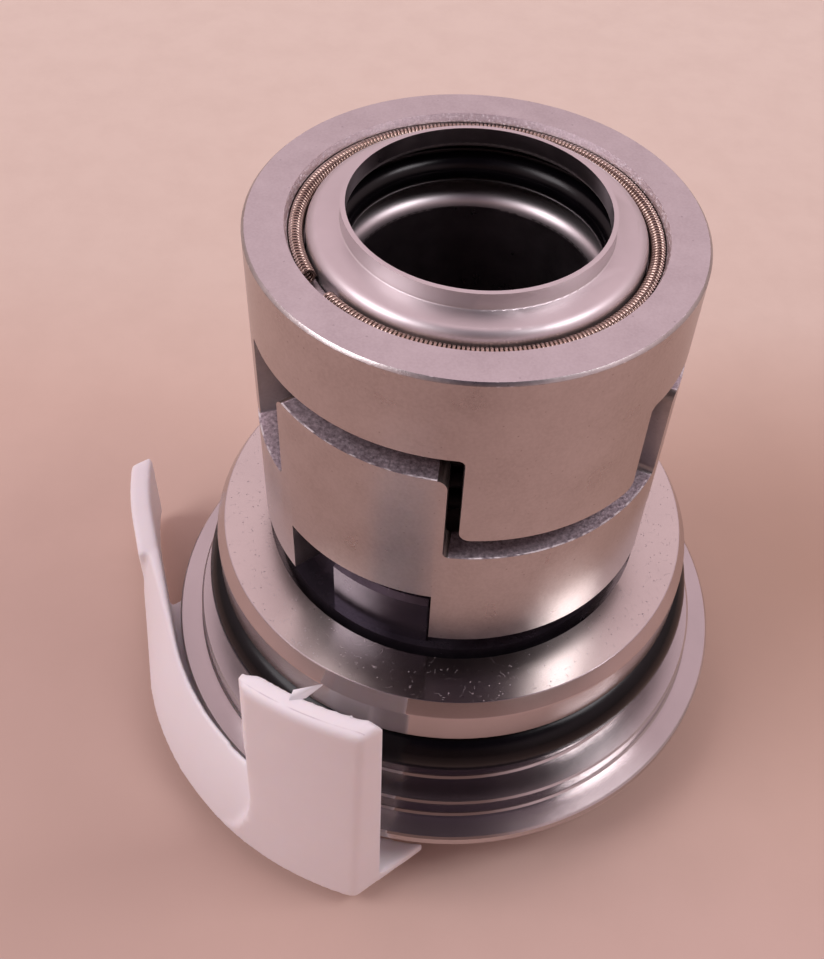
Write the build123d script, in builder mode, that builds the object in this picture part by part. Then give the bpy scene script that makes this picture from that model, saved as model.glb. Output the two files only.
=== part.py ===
import os

from build123d import *

# Cartridge shaft seal, standing on its drive collar: millimetres, +Z up, origin on the
# seal's axis at the collar's bottom face. Angles are counted from +X, counter-clockwise
# seen from above. Radii grow from the shaft outwards and heights from the collar up, so
# every piece follows the ones that it fits.

os.makedirs("parts", exist_ok=True)

# How far a cut runs past the face that it breaks through, and how near counts as level
overcut = 1.0
level_band = 0.01

# Shaft sleeve: thin drawn tube with a bead rolled out round its O-ring
shaft_bore_r = 11.04
sleeve_wall = 0.41
sleeve_neck = 1.6
bead_height = 6.1
bead_low_bend = 1.0
bead_high_bend = 0.75
neck_bend = 0.35
sleeve_oring_section = 2.9
sleeve_oring_squeeze = 0.09
running_gap = 0.06

# Driver: the ring that turns the seal, with three lugs down its rim
lug_count = 3
driver_edge = 0.25
driver_rim_height = 8.45
driver_web = 2.0
bead_gap = 0.1
lug_top_gap = 2.61
lug_end_gap = 2.52
lug_left_gap = 3.65
lug_right_gap = 14.7
lug_corner = 1.0
root_corner = 0.6

# Retaining coil: fine garter coil that holds the sleeve in the driver
coil_section_r = 0.78
coil_gap = 0.1
coil_side_gap = 0.02
coil_seat_gap = 0.03
coil_lip = 0.2
coil_mouth_depth = 0.75
coil_mouth_edge = 0.24
coil_step_depth = 2.1
coil_start = -137.0
coil_sweep = 347.0

# Carrier: the ring that the driver's lugs turn, and that turns the seal ring
ring_wall = 2.9
carrier_web = 2.0
carrier_web_gap = 0.45
carrier_skirt = 11.2
carrier_ledge_height = 1.15
carrier_lug_height = 9.79
carrier_lug_start = -142.8
carrier_lug_sweep = 51.05
notch_start = -139.0
notch_sweep = 45.2
notch_height = 6.4

# Spring and the washer that it turns against
spring_gap = 1.55
spring_wire_r = 1.0
spring_wire_sides = 12
spring_turns = 4.25
washer_thickness = 0.8
washer_gap = 0.05
washer_bore_gap = 0.75
washer_rim_gap = 0.4

# Rotating seal ring with its O-ring and backup ring
ring_oring_section = 2.9
ring_oring_room = 0.14
seal_wall = 1.75
seal_body_gap = 0.3
seal_body_height = 12.6
seal_top_gap = 0.1
seal_counterbore_depth = 4.9
seal_lug_inset = 1.75
seal_lug_height = 6.3
seal_lug_left_gap = 11.5
seal_lug_right_gap = 1.2
seal_lug_edge = 0.5
seal_flange_inset = 1.1
seal_flange_height = 2.5
seal_bore_gap = 0.45
seal_nose_inset = 1.3
seal_nose_width = 2.2
seal_nose_height = 1.3
seal_film = 0.02
backup_thickness = 1.45
backup_gap = 0.25

# Stationary seat in the cover
seat_bore_gap = 0.75
seat_spigot_wall = 2.2
seat_flange_reach = 3.2
seat_flange_height = 5.5
seat_oring_section = 3.0
seat_gap = 0.1
pin_r = 0.8
pin_length = 4.6
pin_depth = 2.8
pin_slot_gap = 0.12
pin_angle = 90.0

# Cover: turned flange that closes the pump head
cover_bore_gap = 0.9
cover_wall = 4.75
cover_chamfer_run = 0.85
cover_chamfer = 1.5
cover_head = 5.4
groove_depth = 3.8
groove_width = 6.0
groove_shelf = 1.8
land_step = 2.8
land_height = 2.35
flange_step = 2.6
flange_thickness = 1.35
cover_web = 4.6
seat_stand = 1.4
pocket_gap = 0.1
web_bore_gap = 0.1
cover_edge = 0.2
cover_oring_section = 5.1

# Drive collar on the sleeve's end, and its set screws
collar_r = 21.0
collar_height = 5.5
collar_edge = 0.6
collar_fit = 0.02
screw_r = 1.97
screw_hole_gap = 0.03
screw_recess = 0.6
screw_point_gap = 0.08
screw_point_edge = 0.6
socket_width = 2.0
socket_depth = 2.4
screw_angles = [30.0, 150.0, 270.0]

# Assembly clip: moulded fork that keeps the seal at its working length
clip_angle = -139.0
clip_gap = 0.1
clip_slot_gap = 0.3
clip_jaw_thickness = 2.0
clip_jaw_half_width = 17.0
clip_jaw_reach = 9.0
clip_jaw_end = 1.6
clip_floor = 2.0
clip_rim_gap = 0.6
clip_rim_height = 9.8
clip_rim_flat = 0.35
clip_rim_start = -158.6
clip_rim_sweep = 50.0
clip_shoulder_drop = 3.9
clip_shoulder_out = 2.2
clip_foot_out = 3.9
clip_wall = 2.4
clip_end_inset = 9.4
lip_reach = 2.5
lip_inset = 0.4
lip_thickness = 1.5
lip_sweep = 80.0
tab_back_out = 1.3
tab_front_out = 3.2
tab_height = 22.4
tab_face_angle = -109.5
tab_sweep = 50.0
tab_left_top = 5.45
tab_left_foot = 6.4
tab_root_run = 6.0
tab_root_rise = 3.0
tab_corner = 0.9
arm_length = 12.2
arm_foot_out = 2.9
arm_wall = 1.8
arm_top_width = 1.2
pad_overlap = 0.3
pad_thickness = 2.4
pad_straight = 5.0
pad_bend_r = 36.0
pad_inner_bend = 15.4
pad_outer_bend = 12.9
pad_corner = 0.4

# Radii, from the shaft outwards
sleeve_r = shaft_bore_r + sleeve_wall
sleeve_oring_inner_r = shaft_bore_r - sleeve_oring_squeeze
bead_r = sleeve_oring_inner_r + sleeve_oring_section + running_gap + sleeve_wall
coil_r = bead_r + coil_gap + coil_section_r
coil_groove_r = coil_r + coil_section_r + coil_side_gap
coil_mouth_r = coil_groove_r - coil_lip
seal_counterbore_r = sleeve_r + running_gap + ring_oring_section + ring_oring_room
seal_body_r = seal_counterbore_r + seal_wall
ring_inner_r = seal_body_r + seal_body_gap
ring_r = ring_inner_r + ring_wall
seal_lug_r = ring_r - seal_lug_inset
seal_flange_r = ring_r - seal_flange_inset
seal_bore_r = sleeve_r + seal_bore_gap
seal_nose_inner_r = seal_bore_r + seal_nose_inset
seal_nose_outer_r = seal_nose_inner_r + seal_nose_width
spring_r = sleeve_r + spring_gap + spring_wire_r
seat_bore_r = sleeve_r + seat_bore_gap
seat_spigot_r = seat_bore_r + seat_spigot_wall
seat_r = seat_spigot_r + seat_flange_reach
pin_circle_r = (seat_bore_r + seat_spigot_r) / 2
cover_bore_r = seal_flange_r + cover_bore_gap
cover_face_r = cover_bore_r + cover_wall
cover_r = cover_face_r + cover_chamfer_run
groove_floor_r = cover_r - groove_depth
land_r = cover_r + land_step
flange_r = land_r + flange_step
screw_hole_r = screw_r + screw_hole_gap
screw_point_r = shaft_bore_r + screw_point_gap

# Heights, from the collar up
jaw_bottom = collar_height + clip_gap
jaw_top = jaw_bottom + clip_jaw_thickness
flange_bottom = jaw_top + clip_gap
flange_top = flange_bottom + flange_thickness
cover_land = flange_top + land_height
groove_bottom = cover_land + groove_shelf
groove_top = groove_bottom + groove_width
cover_top = groove_top + cover_head
pocket_floor = flange_bottom + cover_web
seat_bottom = pocket_floor + seat_gap
seat_flange_bottom = seat_bottom + seat_oring_section + seat_gap
seat_top = seat_flange_bottom + seat_flange_height
seal_nose_end = seat_top + seal_film
seal_flange_bottom = seat_top + seal_nose_height
seal_flange_top = seal_flange_bottom + seal_flange_height
seal_lug_top = seal_flange_top + seal_lug_height
seal_top = seal_flange_top + seal_body_height
seal_counterbore_floor = seal_top - seal_counterbore_depth
carrier_web_bottom = seal_top + seal_top_gap
carrier_web_top = carrier_web_bottom + carrier_web
carrier_bottom = carrier_web_top - carrier_skirt
notch_top = carrier_bottom + notch_height
carrier_ledge = carrier_web_top + carrier_ledge_height
carrier_lug_top = carrier_ledge + carrier_lug_height
driver_lug_end = carrier_ledge + lug_end_gap
driver_rim = carrier_lug_top + lug_top_gap
driver_top = driver_rim + driver_rim_height
bead_bottom = driver_top - bead_height
driver_web_bottom = bead_bottom - driver_web

# Angles of the lugs: each stands in a gap of its neighbour, with play on both sides
lug_step = 360 / lug_count
carrier_gap_start = carrier_lug_start + carrier_lug_sweep
carrier_gap_sweep = lug_step - carrier_lug_sweep
driver_lug_start = carrier_gap_start + lug_left_gap
driver_lug_sweep = carrier_gap_sweep - lug_left_gap - lug_right_gap
driver_gap_start = driver_lug_start + driver_lug_sweep
driver_gap_sweep = lug_step - driver_lug_sweep
seal_lug_start = notch_start + seal_lug_left_gap
seal_lug_sweep = notch_sweep - seal_lug_left_gap - seal_lug_right_gap


def lug_block(inner_r, outer_r, start, sweep_angle):
    """Face of one lug, a sector of a ring, in the plane of the current sketch."""
    with BuildLine(mode=Mode.PRIVATE) as edge:
        outer = CenterArc((0, 0), outer_r, start, sweep_angle)
        inner = CenterArc((0, 0), inner_r, start, sweep_angle)
        Line(outer @ 0, inner @ 0)
        Line(outer @ 1, inner @ 1)
    return make_face(edge.edges(), mode=Mode.PRIVATE)


def gap_block(start, sweep_angle):
    """Face of one gap, cut right through the wall that the driver and the carrier share."""
    return lug_block(ring_inner_r - overcut, ring_r + overcut, start, sweep_angle)


def level_with(edges, height):
    """The edges that lie level at `height`."""
    return edges.filter_by_position(Axis.Z, height - level_band, height + level_band)


# Shaft sleeve
mid_wall = sleeve_wall / 2
with BuildPart() as shaft_sleeve:
    with BuildSketch(Plane.XZ) as sleeve_section:
        with BuildLine() as sleeve_midline:
            FilletPolyline(
                (shaft_bore_r + mid_wall, 0),
                (shaft_bore_r + mid_wall, bead_bottom + mid_wall),
                (bead_r - mid_wall, bead_bottom + mid_wall),
                (bead_r - mid_wall, driver_top - mid_wall),
                (shaft_bore_r + mid_wall, driver_top - mid_wall),
                (shaft_bore_r + mid_wall, driver_top + sleeve_neck),
                radius=[bead_low_bend, bead_low_bend, bead_high_bend, neck_bend],
            )
        trace(line_width=sleeve_wall)
    revolve(axis=Axis.Z)
    for angle in screw_angles:
        screw_line = Plane(
            origin=(0, 0, collar_height / 2),
            x_dir=(0, 0, 1),
            z_dir=Vector(1, 0, 0).rotate(Axis.Z, angle),
        )
        with BuildSketch(screw_line):
            Circle(screw_hole_r)
        extrude(amount=bead_r, mode=Mode.SUBTRACT)

# Sleeve O-ring
with BuildPart() as sleeve_oring:
    with Locations((0, 0, (bead_bottom + driver_top) / 2)):
        Torus(
            sleeve_oring_inner_r + sleeve_oring_section / 2,
            sleeve_oring_section / 2,
        )

# Driver ring
with BuildPart() as driver_ring:
    with BuildSketch(Plane.XZ) as driver_section:
        with BuildLine():
            Polyline(
                (coil_mouth_r + coil_mouth_edge, driver_top),
                (ring_r, driver_top),
                (ring_r, driver_lug_end),
                (ring_inner_r, driver_lug_end),
                (ring_inner_r, driver_web_bottom),
                (sleeve_r + bead_gap, driver_web_bottom),
                (sleeve_r + bead_gap, bead_bottom - bead_low_bend),
                (sleeve_r + bead_gap + bead_low_bend, bead_bottom),
                (bead_r + bead_gap, bead_bottom),
                (bead_r + bead_gap, driver_top - coil_step_depth),
                (coil_groove_r, driver_top - coil_step_depth),
                (coil_groove_r, driver_top - coil_mouth_depth - (coil_groove_r - coil_mouth_r)),
                (coil_mouth_r, driver_top - coil_mouth_depth),
                close=True,
            )
        make_face()
    revolve(axis=Axis.Z)
    rim_edge = driver_ring.edges().filter_by(GeomType.CIRCLE).group_by(Axis.Z)[-1]
    chamfer(rim_edge.sort_by(SortBy.RADIUS)[-1], driver_edge)
    with BuildSketch(Plane.XY.offset(driver_rim)):
        with PolarLocations(0, lug_count):
            add(gap_block(driver_gap_start, driver_gap_sweep))
    extrude(amount=-(driver_rim - driver_lug_end + overcut), mode=Mode.SUBTRACT)
    lug_ends = driver_ring.edges().filter_by(GeomType.LINE).filter_by(Axis.Z, reverse=True)
    fillet(lug_ends.group_by(Axis.Z)[0], lug_corner)
    lug_roots = driver_ring.edges().filter_by(GeomType.LINE).filter_by(Axis.Z, reverse=True)
    fillet(level_with(lug_roots, driver_rim), root_corner)

# Retaining coil
with BuildPart() as retaining_coil:
    coil_end = Plane.XZ.rotated((0, 0, coil_start))
    with BuildSketch(coil_end):
        with Locations((coil_r, driver_top - coil_step_depth + coil_section_r + coil_seat_gap)):
            Circle(coil_section_r)
    revolve(axis=Axis.Z, revolution_arc=coil_sweep)

# Carrier ring
with BuildPart() as carrier_ring:
    with BuildSketch(Plane.XZ):
        with BuildLine():
            Polyline(
                (ring_inner_r, carrier_lug_top),
                (ring_r, carrier_lug_top),
                (ring_r, carrier_bottom),
                (ring_inner_r, carrier_bottom),
                (ring_inner_r, carrier_web_bottom),
                (sleeve_r + carrier_web_gap, carrier_web_bottom),
                (sleeve_r + carrier_web_gap, carrier_web_top),
                (ring_inner_r, carrier_web_top),
                close=True,
            )
        make_face()
    revolve(axis=Axis.Z)
    with BuildSketch(Plane.XY.offset(carrier_ledge)):
        with PolarLocations(0, lug_count):
            add(gap_block(carrier_gap_start, carrier_gap_sweep))
    extrude(amount=carrier_lug_top - carrier_ledge + overcut, mode=Mode.SUBTRACT)
    with BuildSketch(Plane.XY.offset(notch_top)):
        with PolarLocations(0, lug_count):
            add(gap_block(notch_start, notch_sweep))
    extrude(amount=-(notch_top - carrier_bottom + overcut), mode=Mode.SUBTRACT)
    level_lines = carrier_ring.edges().filter_by(GeomType.LINE).filter_by(Axis.Z, reverse=True)
    fillet(level_lines.group_by(Axis.Z)[-1], lug_corner)
    level_lines = carrier_ring.edges().filter_by(GeomType.LINE).filter_by(Axis.Z, reverse=True)
    fillet(level_with(level_lines, carrier_ledge), root_corner)

# Spring and washer
washer_top = driver_web_bottom - washer_gap
with BuildPart() as spring_washer:
    with BuildSketch(Plane.XY.offset(washer_top)):
        Circle(ring_inner_r - washer_rim_gap)
        Circle(sleeve_r + washer_bore_gap, mode=Mode.SUBTRACT)
    extrude(amount=-washer_thickness)

# The ends are ground flat, so half the wire's radius is cut away at each end.
spring_height = washer_top - washer_thickness - carrier_web_top
spring_rise = spring_height - spring_wire_r
with BuildPart() as spring:
    with BuildLine(Plane.XY.offset(carrier_web_top + spring_wire_r / 2)) as spring_line:
        Helix(pitch=spring_rise / spring_turns, height=spring_rise, radius=spring_r)
    with BuildSketch(Plane(spring_line.line @ 0, z_dir=spring_line.line % 0)):
        RegularPolygon(spring_wire_r, spring_wire_sides)
    sweep(is_frenet=True)
    with BuildSketch(Plane.XY.offset(carrier_web_top)):
        Circle(ring_r)
    extrude(amount=spring_height, mode=Mode.INTERSECT)

# Seal ring
with BuildPart() as seal_ring:
    with BuildSketch(Plane.XZ):
        with BuildLine():
            Polyline(
                (seal_counterbore_r, seal_top),
                (seal_body_r, seal_top),
                (seal_body_r, seal_flange_top),
                (seal_flange_r, seal_flange_top),
                (seal_flange_r, seal_flange_bottom),
                (seal_nose_outer_r, seal_flange_bottom),
                (seal_nose_outer_r, seal_nose_end),
                (seal_nose_inner_r, seal_nose_end),
                (seal_nose_inner_r, seal_flange_bottom),
                (seal_bore_r, seal_flange_bottom),
                (seal_bore_r, seal_counterbore_floor),
                (seal_counterbore_r, seal_counterbore_floor),
                close=True,
            )
        make_face()
    revolve(axis=Axis.Z)
    with BuildSketch(Plane.XY.offset(seal_flange_top)):
        with PolarLocations(0, lug_count):
            add(lug_block(seal_counterbore_r, seal_lug_r, seal_lug_start, seal_lug_sweep))
    extrude(amount=seal_lug_top - seal_flange_top)
    lug_tops = level_with(seal_ring.edges().filter_by(GeomType.CIRCLE), seal_lug_top)
    chamfer(lug_tops.filter_by(lambda e: e.radius > seal_lug_r - level_band), seal_lug_edge)

backup_top = seal_top - seal_film
with BuildPart() as backup_ring:
    with BuildSketch(Plane.XY.offset(backup_top)):
        Circle(seal_counterbore_r - backup_gap)
        Circle(sleeve_r + backup_gap, mode=Mode.SUBTRACT)
    extrude(amount=-backup_thickness)

with BuildPart() as ring_oring:
    with Locations((0, 0, seal_counterbore_floor + seal_film + ring_oring_section / 2)):
        Torus(sleeve_r + running_gap + ring_oring_section / 2, ring_oring_section / 2)

# Cover flange
pocket_r = seat_r + pocket_gap
cover_bore_floor = seat_top - seat_stand
web_bore_r = seat_bore_r + web_bore_gap
pin_place = Vector(pin_circle_r, 0, 0).rotate(Axis.Z, pin_angle)
with BuildPart() as cover_flange:
    with BuildSketch(Plane.XZ) as cover_section:
        with BuildLine():
            Polyline(
                (cover_bore_r, cover_top),
                (cover_face_r, cover_top),
                (cover_r, cover_top - cover_chamfer),
                (cover_r, groove_top),
                (groove_floor_r, groove_top),
                (groove_floor_r, groove_bottom),
                (cover_r, groove_bottom),
                (cover_r, cover_land),
                (land_r, cover_land),
                (land_r, flange_top),
                (flange_r, flange_top),
                (flange_r, flange_bottom),
                (web_bore_r, flange_bottom),
                (web_bore_r, pocket_floor),
                (pocket_r, pocket_floor),
                (pocket_r, cover_bore_floor),
                (cover_bore_r, cover_bore_floor),
                close=True,
            )
        make_face()
        corners = cover_section.vertices().filter_by(lambda v: v.X > cover_face_r)
        chamfer(corners.filter_by(lambda v: v.Y < groove_top + cover_edge), cover_edge)
    revolve(axis=Axis.Z)
    with BuildSketch(Plane.XY.offset(pocket_floor)):
        with Locations(pin_place):
            Circle(pin_r)
    extrude(amount=-pin_depth, mode=Mode.SUBTRACT)

with BuildPart() as cover_oring:
    with Locations((0, 0, (groove_top + groove_bottom) / 2)):
        Torus(groove_floor_r + running_gap + cover_oring_section / 2, cover_oring_section / 2)

# Stationary seat
pin_base = pocket_floor - pin_depth
with BuildPart() as stationary_seat:
    with BuildSketch(Plane.XZ):
        with BuildLine():
            Polyline(
                (seat_bore_r, seat_top),
                (seat_r, seat_top),
                (seat_r, seat_flange_bottom),
                (seat_spigot_r, seat_flange_bottom),
                (seat_spigot_r, seat_bottom),
                (seat_bore_r, seat_bottom),
                close=True,
            )
        make_face()
    revolve(axis=Axis.Z)
    with BuildSketch(Plane.XY.offset(seat_bottom)):
        with Locations(Location(pin_place, (0, 0, pin_angle))):
            Rectangle(2 * seat_spigot_r, 2 * (pin_r + pin_slot_gap))
    extrude(amount=pin_base + pin_length + pin_slot_gap - seat_bottom, mode=Mode.SUBTRACT)

with BuildPart() as seat_pin:
    with BuildSketch(Plane.XY.offset(pin_base)):
        with Locations(pin_place):
            Circle(pin_r)
    extrude(amount=pin_length)

with BuildPart() as seat_oring:
    with Locations((0, 0, pocket_floor + seat_gap + seat_oring_section / 2)):
        Torus(seat_spigot_r + running_gap + seat_oring_section / 2, seat_oring_section / 2)

# Drive collar
with BuildPart() as drive_collar:
    with BuildSketch():
        Circle(collar_r)
        Circle(sleeve_r + collar_fit, mode=Mode.SUBTRACT)
    extrude(amount=collar_height)
    outer_edges = drive_collar.edges().filter_by(GeomType.CIRCLE).sort_by(SortBy.RADIUS)[-2:]
    chamfer(outer_edges, collar_edge)
    for angle in screw_angles:
        screw_line = Plane(
            origin=(0, 0, collar_height / 2),
            x_dir=(0, 0, 1),
            z_dir=Vector(1, 0, 0).rotate(Axis.Z, angle),
        )
        with BuildSketch(screw_line):
            Circle(screw_hole_r)
        extrude(amount=collar_r + overcut, mode=Mode.SUBTRACT)

# One screw is modelled along its own axis, point first, and copied round the collar.
screw_length = collar_r - screw_recess - screw_point_r
set_screws = []
for angle in screw_angles:
    screw_plane = Plane(
        origin=Vector(screw_point_r, 0, collar_height / 2).rotate(Axis.Z, angle),
        x_dir=(0, 0, 1),
        z_dir=Vector(1, 0, 0).rotate(Axis.Z, angle),
    )
    with BuildPart() as set_screw:
        with BuildSketch(screw_plane):
            Circle(screw_r)
        extrude(amount=screw_length)
        along = Axis((0, 0, 0), Vector(1, 0, 0).rotate(Axis.Z, angle))
        chamfer(set_screw.edges().filter_by(GeomType.CIRCLE).sort_by(along)[0], screw_point_edge)
        with BuildSketch(screw_plane.offset(screw_length)):
            RegularPolygon(socket_width / 2, 6, major_radius=False)
        extrude(amount=-socket_depth, mode=Mode.SUBTRACT)
    set_screws.append(set_screw)

# Assembly clip
clip_inner_r = flange_r + clip_rim_gap
clip_shoulder_r = clip_inner_r + clip_shoulder_out
clip_foot_r = clip_inner_r + clip_foot_out
clip_end_offset = clip_inner_r - clip_end_inset
clip_rim_top = clip_floor + clip_rim_height
clip_shoulder = clip_rim_top - clip_shoulder_drop
tab_front_r = clip_inner_r + tab_front_out
tab_top = clip_rim_top + tab_height
slot_r = sleeve_r + clip_slot_gap
clip_out = Vector(1, 0, 0).rotate(Axis.Z, clip_angle)
clip_side = Vector(0, 1, 0).rotate(Axis.Z, clip_angle)


def rim_face(inner, top_width, foot_out, wall):
    """Section of the rim or arm: a leaning wall whose inner edge stands at `inner`."""
    with BuildLine(mode=Mode.PRIVATE) as edge:
        Line((inner, jaw_bottom), (inner, clip_rim_top))
        Line((inner, clip_rim_top), (inner + top_width, clip_rim_top))
        ThreePointArc(
            (inner + top_width, clip_rim_top),
            (inner + clip_shoulder_out, clip_shoulder),
            (inner + foot_out, clip_floor),
        )
        Line((inner + foot_out, clip_floor), (inner + foot_out - wall, clip_floor))
        Line((inner + foot_out - wall, clip_floor), (inner, jaw_bottom))
    return make_face(edge.edges(), mode=Mode.PRIVATE)


with BuildPart() as assembly_clip:
    # Rim: a leaning wall outside the cover's flange.
    with BuildSketch(Plane.XZ.rotated((0, 0, clip_rim_start))):
        add(rim_face(clip_inner_r, clip_rim_flat, clip_foot_out, clip_wall))
    revolve(axis=Axis.Z, revolution_arc=clip_rim_sweep)
    # Lip along the rim's foot.
    with BuildSketch(Plane.XY.offset(clip_floor)):
        lip_inner_r = clip_inner_r - lip_reach
        add(lug_block(lip_inner_r, clip_foot_r - lip_inset, clip_rim_start, lip_sweep))
    extrude(amount=lip_thickness)
    # Finger tab: an upright wall, narrower towards its top.
    tab_start = Plane.XZ.rotated((0, 0, tab_face_angle - tab_sweep / 2))
    with BuildSketch(tab_start, mode=Mode.PRIVATE) as tab_section:
        with BuildLine():
            Polyline(
                (clip_inner_r + tab_back_out, clip_floor),
                (clip_foot_r, clip_floor),
                (tab_front_r, tab_top),
                (clip_inner_r + tab_back_out, tab_top),
                close=True,
            )
        make_face()
        fillet(tab_section.vertices().group_by(Axis.Y)[-1].sort_by(Axis.X)[-1], tab_corner)
    tab_wall = revolve(
        tab_section.sketch, axis=Axis.Z, revolution_arc=tab_sweep, mode=Mode.PRIVATE
    )
    # Seen from outside, the tab's left edge runs down into the rim in a wide hollow curve.
    tab_plane = Plane(
        origin=(0, 0, 0),
        x_dir=Vector(0, 1, 0).rotate(Axis.Z, tab_face_angle),
        z_dir=Vector(1, 0, 0).rotate(Axis.Z, tab_face_angle),
    )
    root_top = clip_rim_top + tab_root_rise
    with BuildSketch(tab_plane, mode=Mode.PRIVATE) as tab_outline:
        with BuildLine():
            EllipticalCenterArc(
                (-tab_left_foot - tab_root_run, root_top),
                tab_root_run,
                root_top - clip_floor,
                start_angle=270,
                arc_size=90,
            )
            Polyline(
                (-tab_left_foot, root_top),
                (-tab_left_top, tab_top),
                (clip_foot_r, tab_top),
                (clip_foot_r, clip_floor),
                (-tab_left_foot - tab_root_run, clip_floor),
            )
        make_face()
    tab_block = extrude(tab_outline.sketch, amount=clip_foot_r + overcut, mode=Mode.PRIVATE)
    add(tab_wall & tab_block)
    # Rim, lip and tab all end at one upright plane along the direction of pull.
    split(bisect_by=Plane(origin=clip_side * clip_end_offset, z_dir=clip_side), keep=Keep.BOTTOM)
    tab_middle_r = (tab_front_r + clip_foot_r) / 2
    end_reach = (tab_middle_r**2 - clip_end_offset**2) ** 0.5
    end_middle = clip_side * clip_end_offset + clip_out * end_reach
    end_point = end_middle + Vector(0, 0, (clip_floor + tab_top) / 2)
    fillet(assembly_clip.edges().sort_by_distance(end_point)[0], tab_corner)
    # Jaw: a flat fork between the cover's flange and the drive collar.
    jaw_plane = Plane(origin=(0, 0, jaw_bottom), x_dir=clip_out, z_dir=(0, 0, 1))
    jaw_r = clip_inner_r + clip_wall / 4
    with BuildSketch(jaw_plane) as jaw:
        with Locations((-clip_jaw_reach, 0)):
            Rectangle(
                clip_jaw_reach + jaw_r,
                2 * clip_jaw_half_width,
                align=(Align.MIN, Align.CENTER),
            )
        Circle(jaw_r, mode=Mode.INTERSECT)
        Circle(slot_r, mode=Mode.SUBTRACT)
        Rectangle(2 * slot_r, 2 * slot_r, align=(Align.MAX, Align.CENTER), mode=Mode.SUBTRACT)
        fillet(jaw.vertices().group_by(Axis.X)[0], clip_jaw_end)
    extrude(amount=jaw_top - jaw_bottom)
    # Arm: the rim's wall run on along its tangent.
    arm_out = Vector(1, 0, 0).rotate(Axis.Z, clip_rim_start)
    arm_along = Vector(0, -1, 0).rotate(Axis.Z, clip_rim_start)
    arm_foot = arm_out * clip_inner_r
    arm_plane = Plane(origin=arm_foot, x_dir=arm_out, z_dir=arm_along)
    with BuildSketch(arm_plane):
        add(rim_face(0, clip_rim_flat, clip_foot_out, clip_wall))
    with BuildSketch(arm_plane.offset(arm_length)):
        add(rim_face(0, arm_top_width, arm_foot_out, arm_wall))
    loft()

# Finger pad on the arm's end: an upright plate that bends in, its end cut at a slant.
pad_plane = Plane(origin=arm_foot + Vector(0, 0, clip_floor), x_dir=arm_along, z_dir=(0, 0, 1))
pad_start = arm_length - pad_overlap
pad_bend_start = arm_length + pad_straight
with BuildPart() as finger_pad:
    with BuildSketch(pad_plane):
        with BuildLine():
            pad_inner = JernArc((pad_bend_start, 0), (1, 0), pad_bend_r, -pad_inner_bend)
            pad_outer = JernArc(
                (pad_bend_start, pad_thickness),
                (1, 0),
                pad_bend_r + pad_thickness,
                -pad_outer_bend,
            )
            Line(pad_inner @ 1, pad_outer @ 1)
            Polyline(pad_inner @ 0, (pad_start, 0), (pad_start, pad_thickness), pad_outer @ 0)
        make_face()
    extrude(amount=clip_rim_top - clip_floor)
    fillet(finger_pad.edges().filter_by(Axis.Z).sort_by_distance(arm_foot)[-2:], pad_corner)
    fillet(finger_pad.edges().group_by(Axis.Z)[-1], pad_corner)
with assembly_clip:
    add(finger_pad.part)

# Export
pieces = {
    "shaft_sleeve": shaft_sleeve,
    "sleeve_oring": sleeve_oring,
    "driver_ring": driver_ring,
    "retaining_coil": retaining_coil,
    "carrier_ring": carrier_ring,
    "spring": spring,
    "spring_washer": spring_washer,
    "seal_ring": seal_ring,
    "ring_oring": ring_oring,
    "backup_ring": backup_ring,
    "stationary_seat": stationary_seat,
    "seat_oring": seat_oring,
    "seat_pin": seat_pin,
    "cover_flange": cover_flange,
    "cover_oring": cover_oring,
    "drive_collar": drive_collar,
    "set_screw_1": set_screws[0],
    "set_screw_2": set_screws[1],
    "set_screw_3": set_screws[2],
    "assembly_clip": assembly_clip,
}
for name, piece in pieces.items():
    piece.part.label = name
    export_step(piece.part, f"parts/{name}.step")
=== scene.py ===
import bmesh
import bpy
import math
from mathutils import Matrix, Vector


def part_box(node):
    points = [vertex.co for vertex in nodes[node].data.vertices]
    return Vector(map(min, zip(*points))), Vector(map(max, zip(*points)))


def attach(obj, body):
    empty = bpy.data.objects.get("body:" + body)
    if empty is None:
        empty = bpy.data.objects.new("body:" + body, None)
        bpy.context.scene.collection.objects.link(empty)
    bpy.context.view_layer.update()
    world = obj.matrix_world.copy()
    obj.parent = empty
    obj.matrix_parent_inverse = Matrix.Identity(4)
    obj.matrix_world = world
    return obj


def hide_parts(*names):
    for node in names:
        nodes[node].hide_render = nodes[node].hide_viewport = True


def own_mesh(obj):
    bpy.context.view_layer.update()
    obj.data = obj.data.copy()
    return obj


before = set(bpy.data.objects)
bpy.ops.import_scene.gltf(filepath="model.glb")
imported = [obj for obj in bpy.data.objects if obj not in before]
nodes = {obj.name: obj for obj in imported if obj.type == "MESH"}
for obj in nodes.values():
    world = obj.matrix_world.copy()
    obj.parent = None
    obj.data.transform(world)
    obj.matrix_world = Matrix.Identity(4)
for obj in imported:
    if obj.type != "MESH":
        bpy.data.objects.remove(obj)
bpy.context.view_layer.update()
mm = 0.001
axisZ = Vector((0, 0, 1))
facesUp = 0.99  # the upright share of a level face's normal
sameHeight = 0.02 * mm  # two points this near in height are level
print("frame loaded")


# Materials

def startMaterial(name, **sockets):
    material = bpy.data.materials.new(name)
    material.use_nodes = True
    shader = material.node_tree.nodes["Principled BSDF"]
    for socket, value in sockets.items():
        shader.inputs[socket.replace("_", " ")].default_value = value
    return material


def addNode(material, kind, **inputs):
    node = material.node_tree.nodes.new(kind)
    for socket, value in inputs.items():
        node.inputs[socket.replace("_", " ")].default_value = value
    return node


def join(material, source, target):
    material.node_tree.links.new(source, target)


def shaderOf(material):
    return material.node_tree.nodes["Principled BSDF"]


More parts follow.
